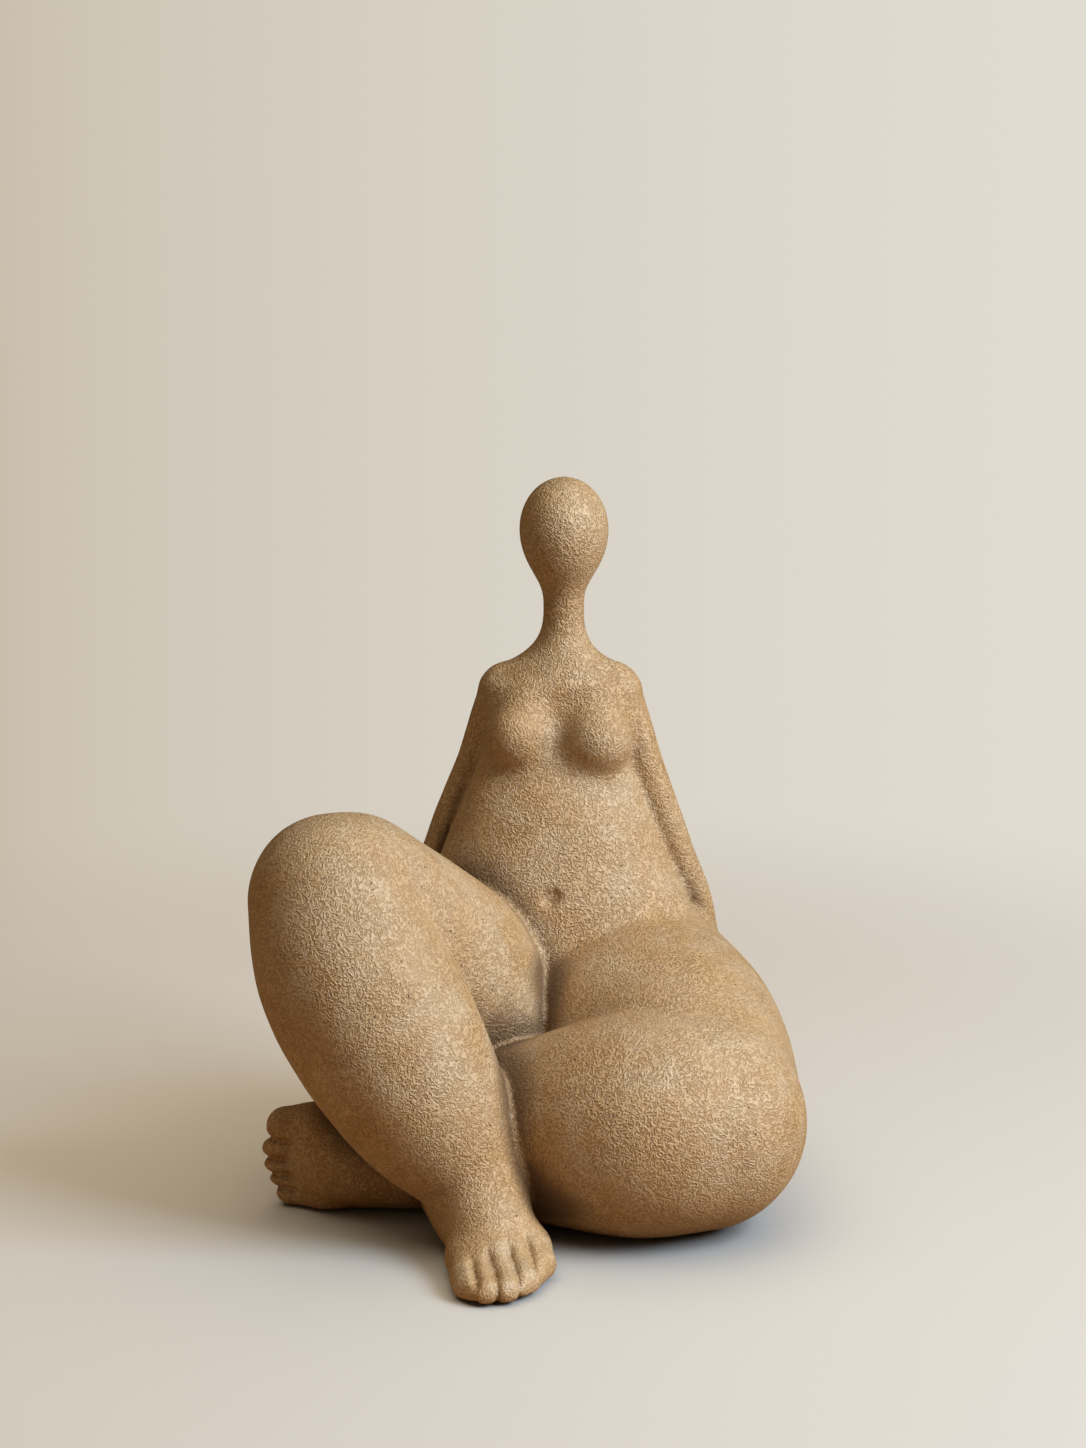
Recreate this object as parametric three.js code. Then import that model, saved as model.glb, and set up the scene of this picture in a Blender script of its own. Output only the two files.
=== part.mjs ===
// Seated woman: a figurine cast in one piece, with a blank egg-shaped head, a slim neck and massive legs.
// One leg is folded flat on the ground and the other is raised, with its foot in front.
// Units are millimetres. +Z is up, the figure faces -Y, and +X is the figure's own left side.
// The origin is on the underside, at the middle of the figure's width and depth.
import * as THREE from 'three';

// Colour and finish of the sand-coloured cast stone.
const STONE = { color: 0xb99567, roughness: 0.72, metalness: 0 };

// The masses below are placed in axes of their own, with this point where the origin comes to lie.
const MIDDLE = [-5.2, 0.2];

// How finely the form is sampled, how many lattice places a block has along each side, at how many block
// widths from the surface it takes a single value, and how far out a limb's distance becomes a rough one.
const CELL = 1.5;
const BLOCK = 5;
const AWAY = 1.6;
const ROUGH = 20;

// How many triangles are left once the flatter stretches are thinned out. HOLD keeps a moved point near its
// edge, EVEN spares long edges, a triangle may turn by TURN (a cosine), and SLIVER is the least share that
// twice its area has of its longest side squared. Below TINY, in square millimetres, its turn is ignored.
const TRIANGLES = 9600;
const HOLD = 1e-3;
const EVEN = 4e-5;
const TURN = 0.5;
const SLIVER = 0.12;
const TINY = 0.02;

// Soft joins: over how many millimetres two masses flow into each other.
const JOIN = {
  head: 9, neck: 19, breast: 6, arm: 2, groin: 9, buttock: 6, hip: 5, thigh: 2, lap: 2.4, foot: 5,
  bars: 6, web: 1.5, spine: 6, navel: 1.2, floor: 3,
};

// Trunk: levels from below the ground, where the seat is cut flat, up to the neck, as [height, middle x,
// middle y, half width, half depth].
const TRUNK = [
  [-12, 6, 46, 50, 33],
  [30, 6, 46, 56, 36],
  [60, 6, 46, 56, 36],
  [93, 5, 47, 49.5, 31],
  [110, 4, 48.5, 43, 28],
  [132, 4.4, 50, 34.5, 22.5],
  [147, 5.2, 52.5, 29, 18],
  [161, 6.2, 54.5, 25.5, 15],
  [172, 6.7, 56, 20, 12],
  [180, 6.4, 56.5, 11, 9.5],
  [190, 7.2, 56.5, 7.6, 7.6],
  [205, 7.6, 55.5, 7.4, 7.4],
  [224, 7.6, 54, 7.4, 7.4],
];

// Masses that are squashed balls, as [middle x, y, z, half width, half depth, half height].
const HEAD = [7.6, 54, 232.8, 16.2, 17, 19.5];
const BUTTOCKS = [[33, 60, 34, 34, 34, 36], [-21, 60, 34, 34, 34, 36]];

// Masses along a centre line, each joint as [x, y, z, radius].
const SHOULDERS = [[-12.7, 57.5, 174.4, 8], [6.7, 56.5, 176, 9], [25.5, 56.5, 174.4, 8]];
const BREASTS = [
  [[-5, 49, 170, 7.5], [-9.2, 42.3, 158.7, 11.3]],
  [[18.5, 48.5, 169, 8], [20.2, 41, 157.8, 12]],
];
const ARMS = [
  [
    [26.6, 56, 174, 8.9], [31.3, 54, 164, 7.6], [36.8, 52.5, 148.5, 6.8], [42.5, 52, 132.5, 6.6],
    [49.2, 54, 113.5, 6.4], [57, 61, 91.5, 6.3], [62, 76, 62, 6], [65, 86, 38, 5.8], [67, 93, 16, 5.6],
  ],
  [
    [-14.4, 58, 174, 8.5], [-19.2, 60, 163, 7.4], [-25, 62.5, 147, 6.4], [-31.6, 64.5, 131, 6.1],
    [-38.6, 67, 112, 6], [-45, 71, 91, 6], [-50, 79, 62, 6], [-53, 87, 38, 5.8], [-55, 93, 16, 5.6],
  ],
];
const THIGH_LEFT = [[33, 44, 50.5, 46], [44.5, 6, 48, 44], [54, -36, 38.5, 37.5]];
const GROIN_LEFT = [[14, 38, 57, 30], [27, 12, 56, 31.5]];
const CALF_LEFT = [
  [54, -38, 38.5, 37.5], [33, -42, 39, 39], [5, -29.5, 33.2, 33.2], [-20, -15, 27, 26.5], [-46, -16, 18, 17],
];
const THIGH_RIGHT = [[-35, 46, 46, 41.5], [-39.5, 8, 77, 37.6], [-67, -21, 115, 29.5]];
const GROIN_RIGHT = [[-16, 26, 56, 18], [-12.7, -2, 63, 12.6]];
const CALF_RIGHT = [
  [-72.3, -28.5, 116, 30], [-66.9, -38, 95, 32.6], [-55.5, -44, 74, 33], [-41, -50, 50, 28.5],
  [-24.5, -57, 27, 18.5], [-17.5, -73, 13, 13.5],
];

// Carved lines: the shallow furrow of the spine and the navel, as centre lines with a radius.
const SPINE = [
  [6.5, 74, 168, 5], [5.2, 75.7, 147, 6], [4.4, 77.7, 132, 6], [4, 81.7, 110, 6], [5, 83.5, 94, 5],
];
const NAVEL = [[3.9, 17.6, 104.9, 3.3], [2.3, 17.6, 103.6, 3.3]];

// A foot or hand: where it stands, which way it points, and its sole and ball as [along, across, up,
// radius]. Its toes or fingers, the thick one first, are [length, across at the root, across at the tip,
// radius, length of the cleft that parts it from the next]. The clefts run past the toes' ends by "past", and
// "rims" are the shares of the toes' thickness that the two bars across them have, at their middle and near
// their ends.
const FOOT_RIGHT = {
  origin: [-27, -45, 0], along: [0.19, -0.98, 0], across: [1, 0, 0], up: 1,
  sole: [[-6, -2.5, 13, 12.5], [14, 1, 13, 15], [30, 2.4, 11, 13]],
  ball: [[37, -5.8, 7, 7.2], [43, 3, 8, 9], [36, 12.5, 8, 9]],
  toes: [
    [53, 16, 16.8, 5.6, 16.8], [64.4, 9.6, 9.9, 4.8, 20.5], [70.2, 2.6, 2.6, 4.7, 21.3],
    [70.2, -4.6, -5.2, 4.4, 16.3], [64.3, -9.6, -10, 3.9],
  ],
  past: 2.5,
  rims: [0.9, 0.97],
};
// The rear foot lies on its little-toe side with its back to the front.
const FOOT_LEFT = {
  origin: [-38, -6, 17.5], along: [-1, -0.08, 0], across: [0, 0, 1], up: -1,
  sole: [[0, -2.4, 9, 14.9], [20, -0.1, 9.5, 17.2], [34, 0.4, 9, 16.3]],
  ball: [[40, -9.8, 8.5, 8.8], [41, 0, 9, 9.5], [42, 10.2, 9, 9.8]],
  toes: [
    [60.9, 12.4, 12.6, 6.8, 12], [62.4, 4, 3.6, 4.8, 11], [61.6, -2.2, -2.8, 4.6, 11],
    [59.2, -7.8, -8.6, 4.4, 10], [56.7, -13, -13.3, 5.1],
  ],
  past: 5,
  rims: [0.86, 0.76],
};
// The hands lean on the ground behind the hips.
const hand = (side, x) => ({
  origin: [x, 90, 0], along: [0.45 * side, 0.9, 0], across: [-side, 0, 0], up: side,
  sole: [[0, 0, 8, 6.2], [8, 0, 5.5, 6]],
  ball: [[12, -4, 4.3, 4.6], [13, 0, 4.6, 4.8], [12, 4, 4.4, 4.6]],
  toes: [
    [17, 8.2, 10, 3, 8], [25.5, 4.4, 5.4, 2.9, 12], [27, 0.9, 1.2, 2.9, 12], [26, -2.6, -3, 2.8, 11],
    [22, -5.8, -6.8, 2.6],
  ],
  past: 3,
  rims: [0.86, 0.76],
});
const HANDS = [hand(1, 67), hand(-1, -55)];
// How a toe or finger runs from its root to its end: how far back from the end it is, its shares of the
// root's and the tip's place across, and how high and how thick it is. Lengths are in the toe's own radii.
const TOE_COURSE = [[6, 0.8, 0, 1.45, 1.35], [3, 0.5, 0.5, 1.2, 1.15], [1, 0, 1, 0.95, 1]];
// The web between toes and the clefts pressed into it, in mean radii of the toes. A cleft deepens from a
// shallow share of its depth, fades out at its end, and has its full depth above a height, in millimetres.
const CLEFT = { web: 0.95, depth: 0.42, halfWidth: 0.66, deepens: 4, shallow: 0.2, fades: 4, above: 2 };

/** The shared outline of two fields that flow into each other over a width. */
const join = (a, b, width) => {
  const near = Math.max(width - Math.abs(a - b), 0) / width;
  return Math.min(a, b) - near * near * width / 4;
};

/** A field with another cut out of it, the edge rounded over a width. */
const carve = (a, b, width) => -join(-a, b, width);

/** A point on the smooth curve through rows of numbers, at place t from 0 to 1. */
function curveAt(rows, t) {
  const spans = rows.length - 1;
  const span = Math.min(Math.floor(t * spans), spans - 1);
  const u = t * spans - span;
  const [a, b, c, d] = [-1, 0, 1, 2].map((step) => rows[Math.min(Math.max(span + step, 0), spans)]);
  return b.map((_, n) => b[n] + 0.5 * u * ((c[n] - a[n])
    + u * (2 * a[n] - 5 * b[n] + 4 * c[n] - d[n])
    + u * u * (3 * b[n] - a[n] - 3 * c[n] + d[n])));
}

/** Distance field of a round cone between two balls. */
function cone([ax, ay, az, start], [bx, by, bz, end]) {
  const [ex, ey, ez] = [bx - ax, by - ay, bz - az];
  const squared = ex * ex + ey * ey + ez * ez;
  const taper = start - end;
  const flank = squared - taper * taper;
  return (x, y, z) => {
    const px = x - ax;
    const py = y - ay;
    const pz = z - az;
    const before = px * ex + py * ey + pz * ez;
    const beyond = before - squared;
    const cx = px * squared - ex * before;
    const cy = py * squared - ey * before;
    const cz = pz * squared - ez * before;
    const apart = cx * cx + cy * cy + cz * cz;
    const lean = Math.sign(taper) * taper * taper * apart;
    const endwise = beyond * beyond * squared;
    if (Math.sign(beyond) * flank * endwise > lean) return Math.sqrt(apart + endwise) / squared - end;
    const startwise = before * before * squared;
    if (Math.sign(before) * flank * startwise < lean) return Math.sqrt(apart + startwise) / squared - start;
    return (Math.sqrt(apart * flank / squared) + before * taper) / squared - start;
  };
}

/** Distance field of a limb: round cones along the smooth curve through its joints. Far out it is rough. */
function limb(joints, conesPerSpan = 6) {
  const count = (joints.length - 1) * conesPerSpan;
  const balls = Array.from({ length: count + 1 }, (_, i) => curveAt(joints, i / count));
  const cones = balls.slice(1).map((end, i) => cone(balls[i], end));
  const [cx, cy, cz] = balls[0].map((value, n) => (value + balls[count][n]) / 2);
  const reach = Math.max(...balls.map(([x, y, z, radius]) => Math.hypot(x - cx, y - cy, z - cz) + radius));
  return (x, y, z) => {
    const away = Math.hypot(x - cx, y - cy, z - cz) - reach;
    if (away > ROUGH) return away;
    let nearest = Infinity;
    for (const piece of cones) nearest = Math.min(nearest, piece(x, y, z));
    return nearest;
  };
}

/** Distance field of a squashed ball. */
function ball([cx, cy, cz, rx, ry, rz]) {
  return (x, y, z) => {
    const [px, py, pz] = [(x - cx) / rx, (y - cy) / ry, (z - cz) / rz];
    const scale = Math.hypot(px, py, pz);
    const slope = Math.hypot(px / rx, py / ry, pz / rz);
    return scale < 1e-6 ? -Math.min(rx, ry, rz) : scale * (scale - 1) / slope;
  };
}

/** Distance field of the trunk: oval sections whose place and size follow the levels. */
function trunk(levels) {
  const [bottom, top] = [levels[0][0], levels.at(-1)[0]];
  const steps = 400;
  const rows = Array.from({ length: steps + 1 }, (_, i) => curveAt(levels, i / steps));
  const sections = Array.from({ length: top - bottom + 1 }, (_, i) => {
    const above = Math.max(rows.findIndex((row) => row[0] >= bottom + i), 1);
    const [low, high] = [rows[above - 1], rows[above]];
    const u = (bottom + i - low[0]) / (high[0] - low[0]);
    return low.map((value, n) => value + (high[n] - value) * u);
  });
  return (x, y, z) => {
    const level = Math.min(Math.max(z - bottom, 0), top - bottom - 1e-3);
    const low = sections[Math.floor(level)];
    const high = sections[Math.floor(level) + 1];
    const [, cx, cy, rx, ry] = low.map((value, n) => value + (high[n] - value) * (level % 1));
    const [px, py] = [(x - cx) / rx, (y - cy) / ry];
    const scale = Math.hypot(px, py);
    const slope = Math.hypot(px / rx, py / ry, scale * (high[3] - low[3]) / rx);
    const side = scale < 1e-6 ? -Math.min(rx, ry) : scale * (scale - 1) / slope;
    return Math.max(side, z - top, bottom - z);
  };
}

/** How deep the clefts between toes or fingers are at a place along and across the foot, from 0 to 1. */
function clefts(toes, past, halfWidth) {
  const lines = toes.slice(1).map(([length, root, tip], n) => {
    const [beside, besideRoot, besideTip, , cleftLength] = toes[n];
    const end = (length + beside) / 2;
    const [startAcross, endAcross] = [(root + besideRoot) / 2, (tip + besideTip) / 2];
    const run = cleftLength + past;
    const reach = Math.hypot(run, endAcross - startAcross);
    return [end - cleftLength, startAcross, run / reach, (endAcross - startAcross) / reach, reach];
  });
  return (a, b) => {
    let deepest = 0;
    for (const [startA, startB, dirA, dirB, reach] of lines) {
      const t = Math.min(Math.max((a - startA) * dirA + (b - startB) * dirB, 0), reach);
      const aside = Math.hypot(a - startA - dirA * t, b - startB - dirB * t) / halfWidth;
      const bump = Math.max(1 - aside, 0) ** 2;
      const depth = Math.min(Math.max(t / CLEFT.deepens, CLEFT.shallow), (reach - t) / CLEFT.fades, 1);
      deepest = Math.max(deepest, bump * depth);
    }
    return deepest;
  };
}

/** Distance field of a foot or hand, where it stands and turned the way it points. */
function footOrHand(shape) {
  const along = new THREE.Vector3(...shape.along).normalize();
  const across = new THREE.Vector3(...shape.across);
  across.addScaledVector(along, -along.dot(across)).normalize();
  const up = new THREE.Vector3().crossVectors(along, across).multiplyScalar(shape.up);
  const place = ([a, b, c, radius]) => {
    const point = new THREE.Vector3(...shape.origin).addScaledVector(along, a).addScaledVector(across, b);
    return [...point.addScaledVector(up, c).toArray(), radius];
  };
  const sole = limb(shape.sole.map(place));
  const front = limb(shape.ball.map(place));
  const courses = shape.toes.map(([length, root, tip, radius]) => TOE_COURSE.map(
    ([back, fromRoot, fromTip, high, thick]) =>
      [length - back * radius, fromRoot * root + fromTip * tip, high * radius, thick * radius]));
  const toes = courses.map((course) => limb(course.map(place), 4));
  const [inner, outer] = shape.rims.map((share, n) => limb(courses.map((course) => {
    const [a, b, c, thick] = course[n + 1];
    return place([a, b, c, thick * share]);
  }), 4));
  const size = shape.toes.reduce((sum, toe) => sum + toe[3], 0) / shape.toes.length;
  const cleft = clefts(shape.toes, shape.past, CLEFT.halfWidth * size);
  const start = new THREE.Vector3(...shape.origin);
  const local = [along, across, up].map((axis) => [axis.x, axis.y, axis.z, axis.dot(start)]);
  return (x, y, z) => {
    let ends = toes[0](x, y, z);
    for (const toe of toes.slice(1)) ends = join(ends, toe(x, y, z), CLEFT.web * size);
    ends = join(ends, join(inner(x, y, z), outer(x, y, z), JOIN.bars), JOIN.web);
    const d = join(join(sole(x, y, z), front(x, y, z), JOIN.foot), ends, JOIN.foot);
    if (d > size) return d;
    const [a, b, c] = local.map(([ax, ay, az, offset]) => ax * x + ay * y + az * z - offset);
    return d + CLEFT.depth * size * cleft(a, b) * Math.min(Math.max(c / CLEFT.above, 0), 1);
  };
}

/** Distance field of a leg: thigh, calf and foot, and the flesh beside the lap. */
function leg(thighJoints, calfJoints, groinJoints, footShape) {
  const thigh = limb(thighJoints);
  const calf = limb(calfJoints);
  const groin = limb(groinJoints);
  const foot = footOrHand(footShape);
  return (x, y, z) => {
    const bare = join(join(thigh(x, y, z), calf(x, y, z), JOIN.thigh), foot(x, y, z), JOIN.foot);
    return join(bare, groin(x, y, z), JOIN.groin);
  };
}

/** The whole figure as one distance field: negative inside, zero on the skin. */
function figureField() {
  const joined = [
    [ball(HEAD), JOIN.head],
    [limb(SHOULDERS), JOIN.neck],
    ...BREASTS.map((joints) => [limb(joints), JOIN.breast]),
    ...ARMS.map((joints) => [limb(joints, 4), JOIN.arm]),
    ...HANDS.map((shape) => [footOrHand(shape), JOIN.arm]),
    ...BUTTOCKS.map((mass) => [ball(mass), JOIN.buttock]),
  ];
  const legLeft = leg(THIGH_LEFT, CALF_LEFT, GROIN_LEFT, FOOT_LEFT);
  const legRight = leg(THIGH_RIGHT, CALF_RIGHT, GROIN_RIGHT, FOOT_RIGHT);
  const body = trunk(TRUNK);
  const spine = limb(SPINE);
  const navel = limb(NAVEL);
  return (x, y, z) => {
    let d = body(x, y, z);
    for (const [mass, width] of joined) d = join(d, mass(x, y, z), width);
    d = carve(carve(d, spine(x, y, z), JOIN.spine), navel(x, y, z), JOIN.navel);
    d = join(d, legLeft(x, y, z), JOIN.hip);
    d = join(d, legRight(x, y, z), JOIN.lap);
    return carve(d, z, JOIN.floor);
  };
}

/** Visits each place of a lattice between two corners. */
function eachPlace(from, to, step, visit) {
  for (let k = from[2]; k < to[2]; k += step) {
    for (let j = from[1]; j < to[1]; j += step) {
      for (let i = from[0]; i < to[0]; i += step) visit(i, j, k);
    }
  }
}

/** The corners of a lattice cell to fill, so that the surface meets itself in no single edge or point. */
function pinchedCorners(pattern) {
  const inside = Array.from({ length: 8 }, (_, n) => (pattern >> n) & 1);
  const count = inside.reduce((sum, value) => sum + value, 0);
  const sides = [[0, 1, 3, 2], [4, 5, 7, 6], [0, 1, 5, 4], [2, 3, 7, 6], [0, 2, 6, 4], [1, 3, 7, 5]];
  const crossed = ([a, b, c, d]) =>
    inside[a] === inside[c] && inside[b] === inside[d] && inside[a] !== inside[b];
  const corners = new Set(sides.filter(crossed).flat());
  for (let n = 0; n < 4; n++) {
    const apart = inside[n] === inside[7 - n];
    if (apart && inside[n] && count === 2) corners.add(n ^ 1);
    if (apart && !inside[n] && count === 6) corners.add(n);
  }
  return [...corners].filter((n) => !inside[n]);
}

/** Fills those corners all over a lattice of values, until none is left. */
function fillPinches(values, last, index, patternAt, depth) {
  const pinched = Array.from({ length: 256 }, (_, pattern) => pinchedCorners(pattern));
  let filled = true;
  while (filled) {
    filled = false;
    eachPlace([0, 0, 0], last, 1, (i, j, k) => {
      for (const n of pinched[patternAt(i, j, k)]) {
        values[index(i + (n & 1), j + ((n >> 1) & 1), k + (n >> 2))] = -depth;
        filled = true;
      }
    });
  }
}

/** A closed mesh of a field's zero surface: one point in each lattice cell that the surface crosses. */
function skin(field, low, high, cell) {
  const size = low.map((value, n) => Math.ceil((high[n] - value) / cell) + 1);
  const last = size.map((count) => count - 1);
  const index = (i, j, k) => i + size[0] * (j + size[1] * k);
  const valueAt = (i, j, k) => field(low[0] + i * cell, low[1] + j * cell, low[2] + k * cell);
  const values = new Float32Array(size[0] * size[1] * size[2]);
  // A block of the lattice whose middle lies well away from the surface takes one value.
  eachPlace([0, 0, 0], size, BLOCK, (i, j, k) => {
    const half = (BLOCK - 1) / 2;
    const middle = valueAt(i + half, j + half, k + half);
    const far = Math.abs(middle) > AWAY * BLOCK * cell;
    const end = [i, j, k].map((value, n) => Math.min(value + BLOCK, size[n]));
    eachPlace([i, j, k], end, 1, (a, b, c) => {
      values[index(a, b, c)] = far ? middle : valueAt(a, b, c);
    });
  });
  // Which of a cell's eight corners are inside, as the bits of a number.
  const patternAt = (i, j, k) => {
    let pattern = 0;
    for (let n = 0; n < 8; n++) {
      if (values[index(i + (n & 1), j + ((n >> 1) & 1), k + (n >> 2))] < 0) pattern |= 1 << n;
    }
    return pattern;
  };
  fillPinches(values, last, index, patternAt, cell / 10);
  const corners = Array.from({ length: 8 }, (_, n) => [n & 1, (n >> 1) & 1, n >> 2]);
  const edges = corners.flatMap((_, a) => [1, 2, 4].filter((bit) => !(a & bit)).map((bit) => [a, a | bit]));
  const points = [];
  const pointIn = new Map();
  eachPlace([0, 0, 0], last, 1, (i, j, k) => {
    const pattern = patternAt(i, j, k);
    if (pattern === 0 || pattern === 255) return;
    const v = corners.map(([x, y, z]) => values[index(i + x, j + y, k + z)]);
    const crossed = edges.filter(([a, b]) => (v[a] < 0) !== (v[b] < 0));
    const place = [i, j, k];
    const share = 1 / crossed.length;
    for (const [a, b] of crossed) {
      const t = v[a] / (v[a] - v[b]);
      for (let n = 0; n < 3; n++) place[n] += share * (corners[a][n] + t * (corners[b][n] - corners[a][n]));
    }
    pointIn.set(index(i, j, k), points.length);
    points.push(place.map((value, n) => low[n] + cell * value));
  });
  const steps = [[1, 0, 0], [0, 1, 0], [0, 0, 1]];
  const faces = [];
  eachPlace([1, 1, 1], last, 1, (i, j, k) => {
    const inside = values[index(i, j, k)] < 0;
    steps.forEach(([x, y, z], axis) => {
      if (inside === (values[index(i + x, j + y, k + z)] < 0)) return;
      const [u, w] = [steps[(axis + 1) % 3], steps[(axis + 2) % 3]];
      const ring = [[0, 0], [1, 0], [1, 1], [0, 1]].map(([a, b]) =>
        pointIn.get(index(i - a * u[0] - b * w[0], j - a * u[1] - b * w[1], k - a * u[2] - b * w[2])));
      if (!inside) ring.reverse();
      faces.push([ring[0], ring[1], ring[2]], [ring[0], ring[2], ring[3]]);
    });
  });
  return { points, faces };
}

/** Moves points onto a field's zero surface, and those that lie on the ground exactly onto it. */
function settle(points, field, reach) {
  const step = 0.02;
  const ground = 0.03;
  for (const point of points) {
    for (let turn = 0; turn < 2; turn++) {
      const [x, y, z] = point;
      const d = field(x, y, z);
      const slope = [field(x + step, y, z) - d, field(x, y + step, z) - d, field(x, y, z + step) - d];
      const length = Math.hypot(...slope);
      const back = Math.min(Math.max(d * step / length, -reach), reach) / length;
      for (let n = 0; n < 3; n++) point[n] -= back * slope[n];
    }
    if (point[2] < ground) point[2] = 0;
  }
}

/** A queue that gives its cheapest entry first; an entry is an array that starts with its cost. */
class CheapestFirst {
  entries = [];

  push(entry) {
    let at = this.entries.length;
    while (at > 0) {
      const parent = (at - 1) >> 1;
      if (this.entries[parent][0] <= entry[0]) break;
      this.entries[at] = this.entries[parent];
      at = parent;
    }
    this.entries[at] = entry;
  }

  pop() {
    const cheapest = this.entries[0];
    const moved = this.entries.pop();
    const count = this.entries.length;
    if (!count) return cheapest;
    let at = 0;
    while (2 * at + 1 < count) {
      let child = 2 * at + 1;
      if (child + 1 < count && this.entries[child + 1][0] < this.entries[child][0]) child++;
      if (this.entries[child][0] >= moved[0]) break;
      this.entries[at] = this.entries[child];
      at = child;
    }
    this.entries[at] = moved;
    return cheapest;
  }
}

const minus = (a, b) => [a[0] - b[0], a[1] - b[1], a[2] - b[2]];
const dot = (a, b) => a[0] * b[0] + a[1] * b[1] + a[2] * b[2];
const cross = (a, b) => [a[1] * b[2] - a[2] * b[1], a[2] * b[0] - a[0] * b[2], a[0] * b[1] - a[1] * b[0]];

/** Thins a closed mesh to a number of triangles: edges whose loss changes the form least close up first. */
function thin({ points, faces }, target) {
  // Each point sums its squared distances from its triangles' planes, as ten terms of a quadratic form.
  const sums = points.map(() => new Float64Array(10));
  const around = points.map(() => new Set());
  const stamps = points.map(() => 0);
  faces.forEach((face, f) => {
    const [a, b, c] = face.map((v) => points[v]);
    const normal = cross(minus(b, a), minus(c, a));
    const size = Math.hypot(...normal);
    const [nx, ny, nz] = normal.map((value) => value / size);
    const offset = -(nx * a[0] + ny * a[1] + nz * a[2]);
    const plane = [nx, ny, nz, offset];
    const terms = plane.flatMap((value, n) => plane.slice(n).map((other) => value * other));
    for (const v of face) {
      terms.forEach((term, n) => { sums[v][n] += term * size; });
      around[v].add(f);
    }
  });
  const error = (q, [x, y, z]) => x * (q[0] * x + 2 * (q[1] * y + q[2] * z + q[3]))
    + y * (q[4] * y + 2 * (q[5] * z + q[6])) + z * (q[7] * z + 2 * q[8]) + q[9];
  const grounded = (v) => points[v][2] === 0;
  // Where the closed edge's point does best, kept near the edge and on the ground where the edge touches it.
  const meeting = (a, b) => {
    const q = sums[a].map((value, n) => value + sums[b][n]);
    if (grounded(a) !== grounded(b)) return [q, points[grounded(a) ? a : b]];
    const middle = points[a].map((value, n) => (value + points[b][n]) / 2);
    const hold = HOLD * (q[0] + q[4] + q[7]);
    const rows = [[q[0] + hold, q[1], q[2]], [q[1], q[4] + hold, q[5]], [q[2], q[5], q[7] + hold]];
    const right = [q[3], q[6], q[8]].map((value, n) => hold * middle[n] - value);
    const size = dot(rows[0], cross(rows[1], rows[2]));
    const best = [cross(rows[1], rows[2]), cross(rows[2], rows[0]), cross(rows[0], rows[1])];
    const point = [0, 1, 2].map((n) => dot(right, best.map((column) => column[n])) / size);
    if (grounded(a)) point[2] = 0;
    return [q, point];
  };
  const queue = new CheapestFirst();
  const offer = (a, b) => {
    const [q, point] = meeting(a, b);
    const edge = minus(points[a], points[b]);
    queue.push([error(q, point) + EVEN * dot(edge, edge) ** 2, a, b, stamps[a], stamps[b], q, point]);
  };
  const neighbours = (v) => new Set([...around[v]].flatMap((f) => faces[f]).filter((other) => other !== v));
  // A triangle may neither turn over nor become a sliver when one of its points moves.
  const staysSound = (v, gone, point) => [...around[v]].every((f) => {
    if (faces[f].includes(gone)) return true;
    const old = faces[f].map((other) => points[other]);
    const now = faces[f].map((other) => (other === v ? point : points[other]));
    const before = cross(minus(old[1], old[0]), minus(old[2], old[0]));
    const after = cross(minus(now[1], now[0]), minus(now[2], now[0]));
    if (Math.hypot(...before) < TINY) return true;
    const sides = now.map((corner, n) => minus(corner, now[(n + 1) % 3]));
    const longest = Math.max(...sides.map((side) => dot(side, side)));
    const [was, is] = [Math.hypot(...before), Math.hypot(...after)];
    return dot(before, after) > TURN * was * is && is > SLIVER * longest;
  });
  points.forEach((_, v) => neighbours(v).forEach((other) => { if (v < other) offer(v, other); }));
  let count = faces.length;
  while (count > target && queue.entries.length) {
    const [, a, b, stampA, stampB, q, point] = queue.pop();
    if (stamps[a] !== stampA || stamps[b] !== stampB) continue;
    const [nearA, nearB] = [neighbours(a), neighbours(b)];
    if ([...nearA].filter((v) => nearB.has(v)).length !== 2) continue;
    if (!staysSound(a, b, point) || !staysSound(b, a, point)) continue;
    for (const f of [...around[b]]) {
      const face = faces[f];
      if (face.includes(a)) {
        for (const v of face) around[v].delete(f);
        faces[f] = null;
        count--;
      } else {
        faces[f] = face.map((v) => (v === b ? a : v));
        around[a].add(f);
      }
    }
    around[b].clear();
    points[a] = point;
    sums[a] = q;
    stamps[a]++;
    stamps[b]++;
    for (const v of neighbours(a)) offer(a, v);
  }
  const kept = new Map();
  const left = faces.filter(Boolean).map((face) => face.map((v) => {
    if (!kept.has(v)) kept.set(v, kept.size);
    return kept.get(v);
  }));
  return { points: [...kept.keys()].map((v) => points[v]), faces: left };
}

/** The figurine as one closed mesh. */
function figureMesh() {
  const field = figureField();
  const fine = skin(field, [-125, -135, -5], [115, 135, 260], CELL);
  settle(fine.points, field, CELL / 2);
  const { points, faces } = thin(fine, TRIANGLES);
  const geometry = new THREE.BufferGeometry();
  geometry.setAttribute('position', new THREE.Float32BufferAttribute(points.flat(), 3));
  geometry.setIndex(faces.flat());
  geometry.translate(-MIDDLE[0], -MIDDLE[1], 0);
  geometry.computeVertexNormals();
  const mesh = new THREE.Mesh(geometry, new THREE.MeshStandardMaterial(STONE));
  mesh.name = 'figure';
  return mesh;
}

const sculpture = new THREE.Group();
sculpture.add(figureMesh());

export default sculpture;
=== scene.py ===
"""Looks of a seated woman cast in one piece of sand-coloured stone, on a plain pale floor in soft studio light.

The figurine's skin starts as a merged copy of the frame's solid. It is remeshed evenly and settled onto the
masses that the figure is built from, which are kept here in millimetres, so that its curves run smoothly.
"""
import logging
import math
from dataclasses import dataclass, field
from enum import Enum
from typing import Callable

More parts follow.
